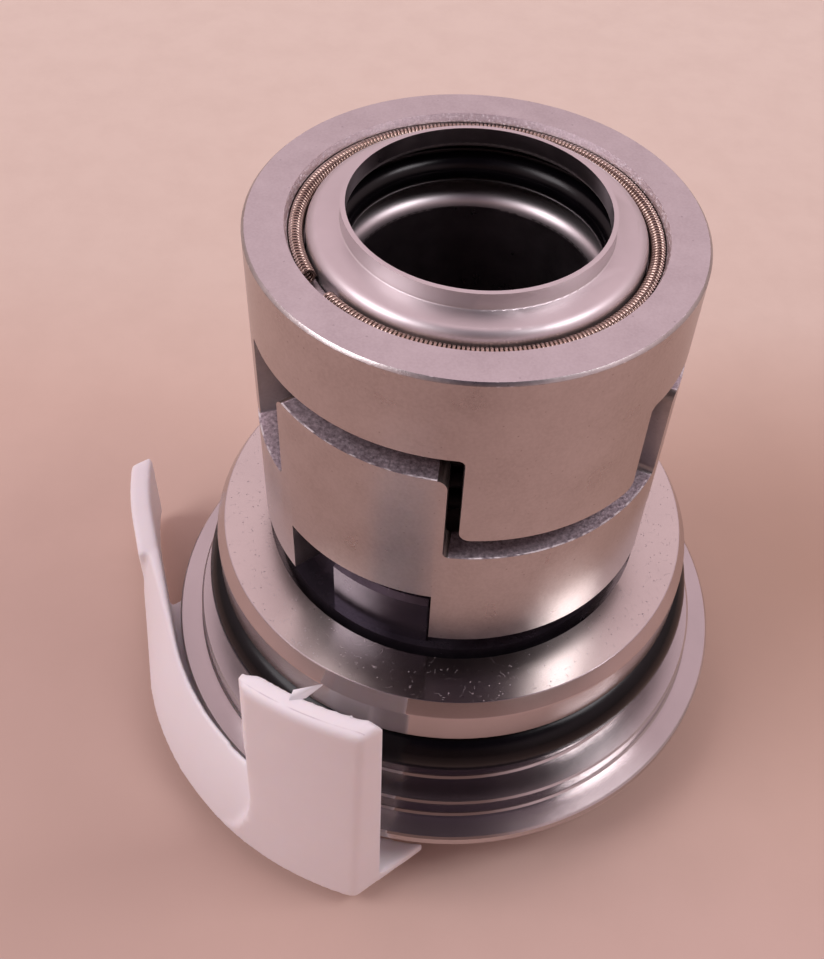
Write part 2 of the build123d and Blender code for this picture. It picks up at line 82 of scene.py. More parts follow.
def colourRamp(material, source, stops):
    ramp = material.node_tree.nodes.new("ShaderNodeValToRGB")
    while len(ramp.color_ramp.elements) < len(stops):
        ramp.color_ramp.elements.new(0.5)
    for element, (place, colour) in zip(ramp.color_ramp.elements, stops):
        element.position = place
        element.color = (*colour, 1)
    join(material, source, ramp.inputs["Fac"])
    return ramp.outputs["Color"]


def valueRange(material, source, fromLow, fromHigh, toLow, toHigh):
    span = addNode(material, "ShaderNodeMapRange")
    span.inputs["From Min"].default_value = fromLow
    span.inputs["From Max"].default_value = fromHigh
    span.inputs["To Min"].default_value = toLow
    span.inputs["To Max"].default_value = toHigh
    join(material, source, span.inputs["Value"])
    return span.outputs["Result"]


def mixColours(material, factor, under, over):
    mix = addNode(material, "ShaderNodeMix")
    mix.data_type = "RGBA"
    join(material, factor, mix.inputs["Factor"])
    for value, target in ((under, mix.inputs[6]), (over, mix.inputs[7])):
        if isinstance(value, tuple):
            target.default_value = (*value, 1)
        else:
            join(material, value, target)
    return mix.outputs[2]


def objectPoint(material):
    return addNode(material, "ShaderNodeTexCoord").outputs["Object"]


def lathePoint(material):  # radius and height alone, so that a band runs round the axis
    point = objectPoint(material)
    split = addNode(material, "ShaderNodeSeparateXYZ")
    join(material, point, split.inputs[0])
    flat = addNode(material, "ShaderNodeCombineXYZ")
    join(material, split.outputs["X"], flat.inputs["X"])
    join(material, split.outputs["Y"], flat.inputs["Y"])
    radius = addNode(material, "ShaderNodeVectorMath")
    radius.operation = "LENGTH"
    join(material, flat.outputs[0], radius.inputs[0])
    lathe = addNode(material, "ShaderNodeCombineXYZ")
    join(material, radius.outputs["Value"], lathe.inputs["X"])
    join(material, split.outputs["Z"], lathe.inputs["Z"])
    return lathe.outputs[0]


def noise(material, point, scale, detail=3.0, roughness=0.5):
    texture = addNode(material, "ShaderNodeTexNoise", Scale=scale, Detail=detail, Roughness=roughness)
    join(material, point, texture.inputs["Vector"])
    return texture.outputs["Fac"]


def specks(material, point, scale, size):  # 1 inside scattered round spots, else 0
    cells = addNode(material, "ShaderNodeTexVoronoi", Scale=scale)
    join(material, point, cells.inputs["Vector"])
    return valueRange(material, cells.outputs["Distance"], size, size * 0.6, 0.0, 1.0)


hairAndGlintLook = {"width": 0.006, "core": 0.0024, "patchScale": 2.3, "patches": (0.58, 0.61)}


def hairAndGlintLines(material, point, scale):  # 1 on short thin winding lines, else 0
    line = noise(material, point, scale, 1.0, 0.4)
    offLine = addNode(material, "ShaderNodeMath")
    offLine.operation = "SUBTRACT"
    offLine.inputs[1].default_value = 0.5
    join(material, line, offLine.inputs[0])
    away = addNode(material, "ShaderNodeMath")
    away.operation = "ABSOLUTE"
    join(material, offLine.outputs[0], away.inputs[0])
    thin = valueRange(material, away.outputs[0], hairAndGlintLook["width"], hairAndGlintLook["core"], 0.0, 1.0)
    patches = noise(material, point, scale * hairAndGlintLook["patchScale"], 0.0, 0.5)
    return times(material, thin, valueRange(material, patches, *hairAndGlintLook["patches"], 0.0, 1.0))


def times(material, first, second):
    product = addNode(material, "ShaderNodeMath")
    product.operation = "MULTIPLY"
    join(material, first, product.inputs[0])
    join(material, second, product.inputs[1])
    return product.outputs[0]


def either(material, first, second):
    larger = addNode(material, "ShaderNodeMath")
    larger.operation = "MAXIMUM"
    join(material, first, larger.inputs[0])
    join(material, second, larger.inputs[1])
    return larger.outputs[0]


grainDepth = 0.04 * mm


def grainBump(material, source, strength):
    bump = addNode(material, "ShaderNodeBump", Strength=strength, Distance=grainDepth)
    join(material, source, bump.inputs["Height"])
    return bump.outputs["Normal"]


# Each pattern fades in between these two values of its noise
noiseLimits = {"cloud": (0.3, 0.7), "fleck": (0.35, 0.65), "rim": (0.44, 0.56)}
paleMetallic = 0.3  # what is left of the metal under dust and painted glints
quarterTurn = 0.25  # the spread runs across the turning marks


def cloudColour(material, cloud, look):
    low, high = noiseLimits["cloud"]
    return colourRamp(material, cloud, [(low, look["dark"]), (high, look["light"])])


def cloudRoughness(material, cloud, look):
    return valueRange(material, cloud, *noiseLimits["cloud"], *look["roughness"])


def steelMaterial(name, look):
    material = startMaterial(name, Metallic=look.get("metallic", 1.0))
    shader = shaderOf(material)
    point = objectPoint(material)
    cloud = noise(material, point, look["cloudScale"], 5.0, 0.65)
    grain = noise(material, point, look["grainScale"], 2.0, 0.6)
    colour = cloudColour(material, cloud, look)
    if look.get("pits"):
        spots = specks(material, point, look["pitScale"], look["pits"])
        colour = mixColours(material, spots, colour, look["pitColour"])
    if look.get("fleck"):  # fine light and dark grain of the colour itself
        fleck = valueRange(material, grain, *noiseLimits["fleck"], 0.0, look["fleck"])
        colour = mixColours(material, fleck, colour, look["fleckColour"])
    rough = cloudRoughness(material, cloud, look)
    pale = None
    if look.get("dustAndGlints"):  # pale specks and fine hairs: real dust on the turned top, painted glints on worn edges and the driver's mouth
        spots = specks(material, point, look["dustAndGlintScale"], look["dustAndGlints"])
        pale = either(material, spots, hairAndGlintLines(material, point, look["hairAndGlintScale"]))
    if look.get("rim"):  # painted glints: bright broken specks painted where the face meets the outer wall
        place = addNode(material, "ShaderNodeSeparateXYZ")
        join(material, lathePoint(material), place.inputs[0])
        band = valueRange(material, place.outputs["X"], *look["rim"], 0.0, 1.0)
        breaks = noise(material, point, look["rimGlintScale"], 2.0, 0.6)
        pale = times(material, band, valueRange(material, breaks, *noiseLimits["rim"], 0.0, 1.0))
    if pale:
        colour = mixColours(material, pale, colour, look["paleColour"])
        metallic = valueRange(material, pale, 0.0, 1.0, 1.0, paleMetallic)
        join(material, metallic, shader.inputs["Metallic"])
        rough = either(material, rough, pale)
    join(material, colour, shader.inputs["Base Color"])
    join(material, rough, shader.inputs["Roughness"])
    join(material, grainBump(material, grain, look["grain"]), shader.inputs["Normal"])
    if look.get("spread"):  # fine turning marks spread a reflection across themselves
        shader.inputs["Anisotropic"].default_value = look["spread"]
        shader.inputs["Anisotropic Rotation"].default_value = quarterTurn
        around = addNode(material, "ShaderNodeTangent")
        around.direction_type = "RADIAL"
        around.axis = "Z"
        join(material, around.outputs["Tangent"], shader.inputs["Tangent"])
    return material


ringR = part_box("driver_ring")[1][0]  # the driver and the carrier share one outer radius
castLook = {
    "dark": (0.44, 0.41, 0.40), "light": (0.55, 0.52, 0.51),
    "roughness": (0.26, 0.38), "cloudScale": 180.0, "grainScale": 3200.0, "grain": 0.30,
    "pits": 0.09, "pitScale": 900.0, "pitColour": (0.36, 0.32, 0.31),
    "fleck": 0.25, "fleckColour": (0.66, 0.63, 0.62),
}
# The rim band of these cut faces carries painted glints
faceLook = {
    "dark": (0.38, 0.32, 0.37), "light": (0.90, 0.82, 0.88),
    "roughness": (0.50, 0.62), "cloudScale": 2900.0, "grainScale": 3600.0, "grain": 1.0,
    "rim": (ringR - 0.20 * mm, ringR - 0.16 * mm), "rimGlintScale": 900.0, "paleColour": (1.0, 0.97, 0.98),
}
# The worn edge's mottle is wear; its pale specks and streaks are painted glints
edgeLook = {
    "dark": (0.14, 0.12, 0.13), "light": (0.62, 0.58, 0.59),
    "roughness": (0.55, 0.28), "cloudScale": 1500.0, "grainScale": 2600.0, "grain": 1.0,
    "dustAndGlints": 0.30, "dustAndGlintScale": 1500.0, "hairAndGlintScale": 1500.0, "paleColour": (1.0, 0.95, 0.98),
}
# The mouth band's pale colour is partly bright cut metal and partly painted sheen; its white specks and
# streaks are painted glints
mouthLook = {
    "dark": (0.78, 0.74, 0.79), "light": (1.0, 0.96, 1.0),
    "roughness": (0.42, 0.26), "cloudScale": 4200.0, "grainScale": 5200.0, "grain": 1.0,
    "dustAndGlints": 0.38, "dustAndGlintScale": 3400.0, "hairAndGlintScale": 2200.0, "paleColour": (1.0, 0.96, 1.0),
}
topLook = {
    "dark": (0.505, 0.465, 0.48), "light": (0.61, 0.57, 0.585),
    "roughness": (0.34, 0.42), "cloudScale": 260.0, "grainScale": 4500.0, "grain": 0.22,
    "pits": 0.08, "pitScale": 700.0, "pitColour": (0.42, 0.38, 0.40),
    "fleck": 0.22, "fleckColour": (0.74, 0.71, 0.73),
}
turnedLook = {
    "dark": (0.58, 0.535, 0.51), "light": (0.66, 0.605, 0.575),
    "roughness": (0.21, 0.24), "cloudScale": 90.0, "grainScale": 6000.0, "grain": 0.03,
    "pits": 0.09, "pitScale": 900.0, "pitColour": (0.38, 0.34, 0.34),
    "dustAndGlints": 0.11, "dustAndGlintScale": 1500.0, "hairAndGlintScale": 1000.0, "paleColour": (0.46, 0.40, 0.41),
    "spread": 0.9,
}
polishedLook = {
    "dark": (0.48, 0.445, 0.445), "light": (0.56, 0.52, 0.52),
    "roughness": (0.12, 0.15), "cloudScale": 90.0, "grainScale": 5000.0, "grain": 0.0,
    "spread": 1.0,
}
landLook = {**polishedLook, "roughness": (0.22, 0.26)}
sleeveLook = {
    "dark": (0.60, 0.56, 0.57), "light": (0.70, 0.65, 0.66),
    "roughness": (0.40, 0.45), "cloudScale": 60.0, "grainScale": 4000.0, "grain": 0.02,
    "spread": 0.3,
}
# The bore's darker colour is painted shade inside the tube
boreShadeLook = {
    "dark": (0.38, 0.34, 0.36), "light": (0.46, 0.42, 0.44),
    "roughness": (0.27, 0.33), "cloudScale": 400.0, "grainScale": 4000.0, "grain": 0.05,
}
coilLook = {
    "dark": (0.31, 0.22, 0.18), "light": (0.56, 0.45, 0.39),
    "roughness": (0.16, 0.24), "cloudScale": 200.0, "grainScale": 6000.0, "grain": 0.02,
}
# The spring's near-black colour is painted shade for the dark inside of the carrier's slots; the set
# screws share it
springShadeLook = {
    "dark": (0.012, 0.011, 0.012), "light": (0.025, 0.022, 0.024),
    "roughness": (0.45, 0.55), "cloudScale": 300.0, "grainScale": 5000.0, "grain": 0.1,
}
carbideLook = {
    "metallic": 0.7, "dark": (0.058, 0.047, 0.064), "light": (0.098, 0.082, 0.106),
    "roughness": (0.20, 0.28), "cloudScale": 300.0, "grainScale": 5000.0, "grain": 0.04,
}
castSteel = steelMaterial("castSteel", castLook)
roughFace = steelMaterial("roughFace", faceLook)
wornEdgeGlints = steelMaterial("wornEdgeGlints", edgeLook)
mouthSteel = steelMaterial("mouthSteel", mouthLook)
turnedTop = steelMaterial("turnedTop", topLook)
turnedFace = steelMaterial("turnedFace", turnedLook)
polishedSteel = steelMaterial("polishedSteel", polishedLook)
landSteel = steelMaterial("landSteel", landLook)
sleeveSteel = steelMaterial("sleeveSteel", sleeveLook)
boreShadeSteel = steelMaterial("boreShadeSteel", boreShadeLook)
coilSteel = steelMaterial("coilSteel", coilLook)
springShadeSteel = steelMaterial("springShadeSteel", springShadeLook)
carbide = steelMaterial("carbide", carbideLook)


def softMaterial(name, look):
    material = startMaterial(name, **look["sockets"])
    shader = shaderOf(material)
    point = objectPoint(material)
    cloud = noise(material, point, look["cloudScale"], 4.0, 0.6)
    grain = noise(material, point, look["grainScale"], 2.0, 0.6)
    join(material, cloudColour(material, cloud, look), shader.inputs["Base Color"])
    join(material, cloudRoughness(material, cloud, look), shader.inputs["Roughness"])
    join(material, grainBump(material, grain, look["grain"]), shader.inputs["Normal"])
    return material


def nearTo(material, source, value, width):  # 1 where the source is at the value, else 0
    away = addNode(material, "ShaderNodeMath")
    away.operation = "COMPARE"
    away.inputs[1].default_value = value
    away.inputs[2].default_value = width
    join(material, source, away.inputs[0])
    return away.outputs[0]


rubberLook = {
    "sockets": {"Specular_IOR_Level": 0.22},
    "dark": (0.0016, 0.0012, 0.0020), "light": (0.0034, 0.0026, 0.0040),
    "roughness": (0.20, 0.28), "cloudScale": 300.0, "grainScale": 5000.0, "grain": 0.04,
}
plasticLook = {
    "sockets": {
        "Subsurface_Weight": 0.25, "Subsurface_Scale": 1.2 * mm, "Subsurface_Radius": (1.0, 0.8, 0.6),
    },
    "dark": (0.90, 0.875, 0.90), "light": (0.94, 0.915, 0.94),
    "roughness": (0.40, 0.50), "cloudScale": 70.0, "grainScale": 2500.0, "grain": 0.06,
}
rubber = softMaterial("blackRubber", rubberLook)
clipPlastic = softMaterial("ivoryPlastic", plasticLook)


def partingLine(material, look):  # the faint line that two mould halves leave on the tab's top
    place = addNode(material, "ShaderNodeSeparateXYZ")
    join(material, lathePoint(material), place.inputs[0])
    onLine = times(
        material, nearTo(material, place.outputs["X"], look["radius"], look["width"]),
        nearTo(material, place.outputs["Z"], look["height"], look["depth"]),
    )
    breaks = noise(material, objectPoint(material), look["breaks"])
    broken = valueRange(material, breaks, *look["broken"], 0.0, look["share"])
    base = shaderOf(material).inputs["Base Color"]
    plain = base.links[0].from_socket
    join(material, mixColours(material, times(material, onLine, broken), plain, look["colour"]), base)


partingLook = {
    "radius": 33.50 * mm, "width": 0.05 * mm, "height": 34.2 * mm, "depth": 0.35 * mm,
    "breaks": 260.0, "broken": (0.42, 0.55), "share": 0.6, "colour": (0.55, 0.49, 0.54),
}
partingLine(clipPlastic, partingLook)
print("materials made")


# Pieces

def newPiece(name, shape, body, materials, slotName, *replaced):
    mesh = bpy.data.meshes.new(name)
    shape.to_mesh(mesh)
    shape.free()
    for material in materials:
        mesh.materials.append(material)
    piece = bpy.data.objects.new(name, mesh)
    bpy.context.scene.collection.objects.link(piece)
    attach(piece, body)
    if replaced:
        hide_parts(*replaced)
    return piece


mergeSizes = {"weld": 0.002 * mm, "flatTurn": 0.6}


def mergedShape(name):  # a joined copy of a CAD solid, its flat faces whole again
    source = nodes[name]
    shape = bmesh.new()
    shape.from_mesh(source.data)
    bmesh.ops.transform(shape, matrix=source.matrix_world, verts=shape.verts)
    bmesh.ops.remove_doubles(shape, verts=shape.verts, dist=mergeSizes["weld"])
    flatTurn = math.radians(mergeSizes["flatTurn"])
    bmesh.ops.dissolve_limit(shape, angle_limit=flatTurn, verts=shape.verts, edges=shape.edges)
    return shape


def smoothShade(shape, sharpTurn):
    for face in shape.faces:
        face.smooth = True
    for edge in shape.edges:
        edge.smooth = len(edge.link_faces) == 2 and edge.calc_face_angle() < math.radians(sharpTurn)


def keepFlatsFlat(piece):  # narrow roundings take the bend, so the flats beside them stay plane
    flats = piece.modifiers.new("flatNormals", "WEIGHTED_NORMAL")
    flats.weight = 100
    flats.keep_sharp = True


def radiusOf(point):
    return math.hypot(point.x, point.y)


def softenEdges(shape, width, turn, chosen, finish):  # finish is the new faces' material index
    edges = [edge for edge in shape.edges
             if len(edge.link_faces) == 2 and edge.calc_face_angle() > math.radians(turn)
             and chosen(edge)]
    softened = bmesh.ops.bevel(
        shape, geom=edges, offset=width, segments=2, profile=0.5, affect="EDGES",
        clamp_overlap=True, material=-1,
    )
    for face in softened["faces"]:
        face.material_index = finish


# Driver and carrier: cast rings with a worn outer edge carrying painted glints. The driver has a turned
# top and a mouth made bright partly with painted sheen; the carrier is rough where its top and ledge were
# cut
ringSizes = {
    "edge": 0.12 * mm, "sharpTurn": 35, "mouthR": 16.35 * mm, "mouthDepth": 1.2 * mm,
    "cutBand": 0.3 * mm, "outerBand": 0.3 * mm, "carrierLedge": 40.65 * mm,
}


def castRing(name, body, cutHeights, topMaterial):
    shape = mergedShape(name)
    outerR = max(radiusOf(vert.co) for vert in shape.verts)
    mouthBottom = max(vert.co.z for vert in shape.verts) - ringSizes["mouthDepth"]
    levelFinish = topMaterial or castSteel
    materials = [castSteel, wornEdgeGlints, roughFace, levelFinish, mouthSteel]
    for face in shape.faces:
        middle = face.calc_center_median()
        outermost = max(radiusOf(vert.co) for vert in face.verts)
        if face.normal.z > facesUp:
            cut = any(abs(middle.z - height) < ringSizes["cutBand"] for height in cutHeights)
            face.material_index = materials.index(roughFace if cut else levelFinish)
        elif topMaterial and outermost < ringSizes["mouthR"] and middle.z > mouthBottom:
            face.material_index = materials.index(mouthSteel)

    def outerLevel(edge):
        a, b = (vert.co for vert in edge.verts)
        innerR = min(radiusOf(a), radiusOf(b))
        return innerR > outerR - ringSizes["outerBand"] and abs(a.z - b.z) < sameHeight

    sharpTurn = ringSizes["sharpTurn"]
    softenEdges(shape, ringSizes["edge"], sharpTurn, outerLevel, materials.index(wornEdgeGlints))
    smoothShade(shape, sharpTurn)
    keepFlatsFlat(newPiece(name + "Dressed", shape, body, materials, "cast_steel", name))


castRing("driver_ring", "rotor", [], turnedTop)
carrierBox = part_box("carrier_ring")
carrierTop = carrierBox[1][2]
castRing("carrier_ring", "carrier", [carrierTop, ringSizes["carrierLedge"]], None)
print("rings dressed")

# Cover: a turned top and turned lands, polished walls, and the rim's edges broken
coverSizes = {
    "edge": 0.10 * mm, "edgeTurn": 20, "sharpTurn": 25, "edgeBand": 2.0 * mm, "rimBand": 1.0 * mm,
    "topBand": 0.1 * mm, "topSlack": 0.01 * mm,
}


def coverPiece(name, body, look):
    shape = mergedShape(name)
    top = max(vert.co.z for vert in shape.verts)
    rimR = max(radiusOf(vert.co) for vert in shape.verts if vert.co.z > top - look["topSlack"])
    materials = [polishedSteel, turnedFace, landSteel]
    for face in shape.faces:
        if face.normal.z > facesUp:
            onTop = face.calc_center_median().z > top - look["topBand"]
            face.material_index = materials.index(turnedFace if onTop else landSteel)

    def rim(edge):
        a, b = (vert.co for vert in edge.verts)
        outside = min(radiusOf(a), radiusOf(b)) > rimR - look["rimBand"]
        return outside and min(a.z, b.z) > top - look["edgeBand"] and abs(a.z - b.z) < sameHeight

    softenEdges(shape, look["edge"], look["edgeTurn"], rim, materials.index(polishedSteel))
    smoothShade(shape, look["sharpTurn"])
    keepFlatsFlat(newPiece(name + "Dressed", shape, body, materials, "turned_steel", name))


coverPiece("cover_flange", "cover", coverSizes)

# Sleeve: its straight bore is painted darker than the outside, as painted shade inside the tube
sleeveSizes = {"sharpTurn": 50, "wallLean": 0.1}


def sleevePiece(name, body, look):
    shape = mergedShape(name)
    materials = [sleeveSteel, boreShadeSteel]
    for face in shape.faces:
        middle = face.calc_center_median()
        outward = face.normal.x * middle.x + face.normal.y * middle.y
        inBore = outward < 0 and abs(face.normal.z) < look["wallLean"]
        face.material_index = materials.index(boreShadeSteel if inBore else sleeveSteel)
    smoothShade(shape, look["sharpTurn"])
    newPiece(name + "Dressed", shape, body, materials, "sleeve_steel", name)


sleevePiece("shaft_sleeve", "rotor", sleeveSizes)


# Seal ring and rubber rings: joined copies that shade smoothly
def smoothCopy(name, body, material, slotName, sharpTurn):
    shape = mergedShape(name)
    smoothShade(shape, sharpTurn)
    newPiece(name + "Dressed", shape, body, [material], slotName, name)


sealRingSizes = {"sharpTurn": 20}
smoothCopy("seal_ring", "seal_ring", carbide, "seal_carbide", sealRingSizes["sharpTurn"])
print("turned pieces dressed")

rubberSizes = {
    "sharpTurn": 60,
    "bodies": {
        "cover_oring": "cover", "sleeve_oring": "rotor", "ring_oring": "seal_ring", "seat_oring": "cover",
    },
}
for name, body in rubberSizes["bodies"].items():
    smoothCopy(name, body, rubber, "black_rubber", rubberSizes["sharpTurn"])
print("rubber rings dressed")

# Spring: round wire, its ends ground flat
springSizes = {
    "radius": 14.0 * mm, "wireR": 1.0 * mm, "turns": 4.25, "sides": 14, "stepsPerTurn": 40,
    "cutSlack": 1e-7, "sharpTurn": 40, "travel": 2.4 * mm,
}


def springShape(look, low, high):
    shape = bmesh.new()
    ring = bmesh.ops.create_circle(shape, segments=look["sides"], radius=look["wireR"])["verts"]
    start = Matrix.Translation((look["radius"], 0, low + look["wireR"] / 2))
    bmesh.ops.transform(shape, matrix=start @ Matrix.Rotation(math.pi / 2, 4, "X"), verts=ring)
    steps = round(look["turns"] * look["stepsPerTurn"])
    rise = high - low - look["wireR"]
    bmesh.ops.spin(
        shape, geom=shape.edges[:], cent=(0, 0, 0), axis=axisZ, angle=math.tau * look["turns"],
        steps=steps, dvec=(0, 0, rise / steps), use_merge=False,
    )
    bmesh.ops.recalc_face_normals(shape, faces=shape.faces)
    bmesh.ops.holes_fill(shape, edges=[edge for edge in shape.edges if edge.is_boundary])
    for height, normal in ((low, -axisZ), (high, axisZ)):
        cut = bmesh.ops.bisect_plane(
            shape, geom=shape.verts[:] + shape.edges[:] + shape.faces[:], dist=look["cutSlack"],
            plane_co=(0, 0, height), plane_no=normal, clear_outer=True,
        )
        rim = [item for item in cut["geom_cut"] if isinstance(item, bmesh.types.BMEdge)]
        bmesh.ops.holes_fill(shape, edges=rim)
    return shape


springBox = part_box("spring")
woundSpring = springShape(springSizes, springBox[0][2], springBox[1][2])
smoothShade(woundSpring, springSizes["sharpTurn"])
spring = newPiece("springWire", woundSpring, "carrier", [springShadeSteel], "spring_steel", "spring")
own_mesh(spring)
print("spring wound")

# Retaining coil: separate fine turns round the driver's groove
coilSizes = {
    "ringRadius": 15.2 * mm, "turnRadius": 0.61 * mm, "wireR": 0.165 * mm, "height": 60.21 * mm,
    "turns": 256, "start": -137.0, "sweep": 347.0, "lean": 6.0, "sides": 5, "steps": 10,
    "sharpTurn": 80,
}


def coilShape(look):
    shape = bmesh.new()
    ring = bmesh.ops.create_circle(shape, segments=look["sides"], radius=look["wireR"])["verts"]
    bmesh.ops.translate(shape, vec=(look["turnRadius"], 0, 0), verts=ring)
    upright = Matrix.Rotation(math.pi / 2, 4, "X")
    bmesh.ops.transform(shape, matrix=upright, verts=ring)
    bmesh.ops.spin(
        shape, geom=shape.edges[:], cent=(0, 0, 0), axis=axisZ, angle=math.tau,
        steps=look["steps"], use_merge=True,
    )
    place = (
        Matrix.Rotation(math.radians(look["start"]), 4, "Z")
        @ Matrix.Translation((look["ringRadius"], 0, look["height"]))
        @ Matrix.Rotation(math.pi / 2 + math.radians(look["lean"]), 4, "X")
    )
    bmesh.ops.transform(shape, matrix=place, verts=shape.verts)
    bmesh.ops.recalc_face_normals(shape, faces=shape.faces)
    bmesh.ops.spin(
        shape, geom=shape.verts[:] + shape.edges[:] + shape.faces[:], cent=(0, 0, 0), axis=axisZ,
        angle=math.radians(look["sweep"]), steps=look["turns"], use_duplicate=True,
    )
    return shape


woundCoil = coilShape(coilSizes)
smoothShade(woundCoil, coilSizes["sharpTurn"])
newPiece("coilTurns", woundCoil, "rotor", [coilSteel], "coil_steel", "retaining_coil")
print("coil wound")

# Clip: a copy with every corner moulded round
clipSizes = {"grid": 0.30 * mm, "rounds": 3, "sharpTurn": 60}


def relax(shape, verts, rounds):
    for turn in range(rounds):
        bmesh.ops.smooth_vert(
            shape, verts=verts, factor=0.5, use_axis_x=True, use_axis_y=True, use_axis_z=True,
        )


def mouldedShape(name, look):
    shape = mergedShape(name)
    mesh = bpy.data.meshes.new("rough" + name)
    shape.to_mesh(mesh)
    shape.free()
    rough = bpy.data.objects.new("rough" + name, mesh)
    bpy.context.scene.collection.objects.link(rough)
    grid = rough.modifiers.new("grid", "REMESH")
    grid.mode = "VOXEL"
    grid.voxel_size = look["grid"]
    ready = rough.evaluated_get(bpy.context.evaluated_depsgraph_get())
    shape = bmesh.new()
    shape.from_mesh(ready.to_mesh())
    ready.to_mesh_clear()
    bpy.data.objects.remove(rough)
    relax(shape, shape.verts, look["rounds"])
    return shape


clipShape = mouldedShape("assembly_clip", clipSizes)

tabSizes = {
    "turn": -109.5, "leftEdge": (-4.5 * mm, -5.3 * mm), "backFace": (34.0 * mm, 32.6 * mm),
    "rise": (16.0 * mm, 21.0 * mm), "lean": (-0.75 * mm, 0.55 * mm),
    "rootAcross": (-11.5 * mm, -4.2 * mm), "rootHeight": (8.0 * mm, 19.0 * mm), "rootRounds": 14,
}
tabTurn = Matrix.Rotation(math.radians(tabSizes["turn"]), 3, "Z")
tabAcross = tabTurn @ Vector((0, 1, 0))
tabOut = tabTurn @ Vector((1, 0, 0))


def shareOf(value, limits):
    return min(1.0, max(0.0, (value - limits[0]) / (limits[1] - limits[0])))


def between(value, limits):
    return limits[0] < value < limits[1]


cornerLean = tabSizes["lean"][0] * tabAcross + tabSizes["lean"][1] * tabOut
for vert in clipShape.verts:  # the tab's back left corner stands further out than its front one
    if vert.co.dot(tabOut) > 0 and vert.co.dot(tabAcross) < tabSizes["leftEdge"][0]:
        share = shareOf(vert.co.dot(tabAcross), tabSizes["leftEdge"])
        share *= shareOf(radiusOf(vert.co), tabSizes["backFace"]) * shareOf(vert.co.z, tabSizes["rise"])
        vert.co += share * cornerLean
root = [vert for vert in clipShape.verts if vert.co.dot(tabOut) > 0
        and between(vert.co.dot(tabAcross), tabSizes["rootAcross"])
        and between(vert.co.z, tabSizes["rootHeight"])]
relax(clipShape, root, tabSizes["rootRounds"])

# Flash left on the tab's top edge: a thin leaf and a nib
flashSizes = {
    "leaf": [
        (-12.15, -30.65, 34.00), (-11.96, -29.68, 34.05), (-9.50, -29.40, 34.95), (-10.79, -30.31, 34.20),
    ],
    "thick": 0.22 * mm, "nib": (-6.88, -31.66, 34.08), "nibSize": 0.17 * mm,
}
leafThick = flashSizes["thick"] * axisZ
leafLow = [clipShape.verts.new(Vector(corner) * mm) for corner in flashSizes["leaf"]]
leafHigh = [clipShape.verts.new(Vector(corner) * mm + leafThick) for corner in flashSizes["leaf"]]
bmesh.ops.convex_hull(clipShape, input=leafLow + leafHigh)
nibPlace = Matrix.Translation(Vector(flashSizes["nib"]) * mm)
bmesh.ops.create_icosphere(clipShape, subdivisions=2, radius=flashSizes["nibSize"], matrix=nibPlace)
smoothShade(clipShape, clipSizes["sharpTurn"])
clip = newPiece("mouldedClip", clipShape, "clip", [clipPlastic], "clip_plastic", "assembly_clip")
print("clip moulded", len(clip.data.polygons))

# CAD nodes that stay as they are
finishes = {
    castSteel: ["drive_collar"],
    sleeveSteel: ["spring_washer", "backup_ring", "seat_pin"],
    springShadeSteel: ["set_screw_1", "set_screw_2", "set_screw_3"],
    carbide: ["stationary_seat"],
}
for finish, names in finishes.items():
    for name in names:
        nodes[name].material_slots[0].material = finish

# Floor, light and camera
# The floor's tones are painted light and shade, dark far in front and brighter towards the back; the
# patches are painted shadows in front of and beside the object; the blots are the paper's own mottle
stageLook = {
    "size": 3.0, "near": -0.60, "far": 0.20, "roughness": 0.8,
    "mottle": 0.10, "mottleScale": 130.0, "blot": (0.50, 0.36, 0.29),
    "paintedLightTones": [
        (0.0, (0.21, 0.14, 0.12)), (0.50, (0.36, 0.25, 0.21)), (0.62, (0.58, 0.42, 0.36)),
        (0.71, (0.64, 0.465, 0.395)), (0.79, (0.66, 0.49, 0.405)), (0.83, (0.72, 0.585, 0.495)),
        (0.95, (0.80, 0.685, 0.585)),
    ],
    "paintedShadows": [
        {"middle": (0.0, -0.086, 0.0), "reach": (0.042, 0.012), "colour": (0.47, 0.33, 0.28)},
        {"middle": (0.048, 0.014, 0.0), "reach": (0.050, 0.0), "colour": (0.57, 0.395, 0.30)},
        {"middle": (-0.040, -0.036, 0.0), "reach": (0.045, 0.0), "colour": (0.52, 0.37, 0.31)},
    ],
}
floorMesh = bpy.data.meshes.new("floor")
shape = bmesh.new()
bmesh.ops.create_grid(shape, x_segments=1, y_segments=1, size=stageLook["size"])
shape.to_mesh(floorMesh)
shape.free()
floor = bpy.data.objects.new("floor", floorMesh)
bpy.context.scene.collection.objects.link(floor)
floorPaint = startMaterial("floorPaint", Roughness=stageLook["roughness"])
floorPoint = objectPoint(floorPaint)
across = addNode(floorPaint, "ShaderNodeSeparateXYZ")
join(floorPaint, floorPoint, across.inputs[0])
paintedFalloff = valueRange(floorPaint, across.outputs["Y"], stageLook["near"], stageLook["far"], 0.0, 1.0)
floorPaintedLight = colourRamp(floorPaint, paintedFalloff, stageLook["paintedLightTones"])
for paintedShadow in stageLook["paintedShadows"]:
    away = addNode(floorPaint, "ShaderNodeVectorMath")
    away.operation = "DISTANCE"
    away.inputs[1].default_value = paintedShadow["middle"]
    join(floorPaint, floorPoint, away.inputs[0])
    share = valueRange(floorPaint, away.outputs["Value"], *paintedShadow["reach"], 0.0, 1.0)
    floorPaintedLight = mixColours(floorPaint, share, floorPaintedLight, paintedShadow["colour"])
mottle = noise(floorPaint, floorPoint, stageLook["mottleScale"], 5.0, 0.65)
blots = valueRange(floorPaint, mottle, 0.40, 0.65, 0.0, stageLook["mottle"])
floorColour = mixColours(floorPaint, blots, floorPaintedLight, stageLook["blot"])
join(floorPaint, floorColour, shaderOf(floorPaint).inputs["Base Color"])
floorMesh.materials.append(floorPaint)

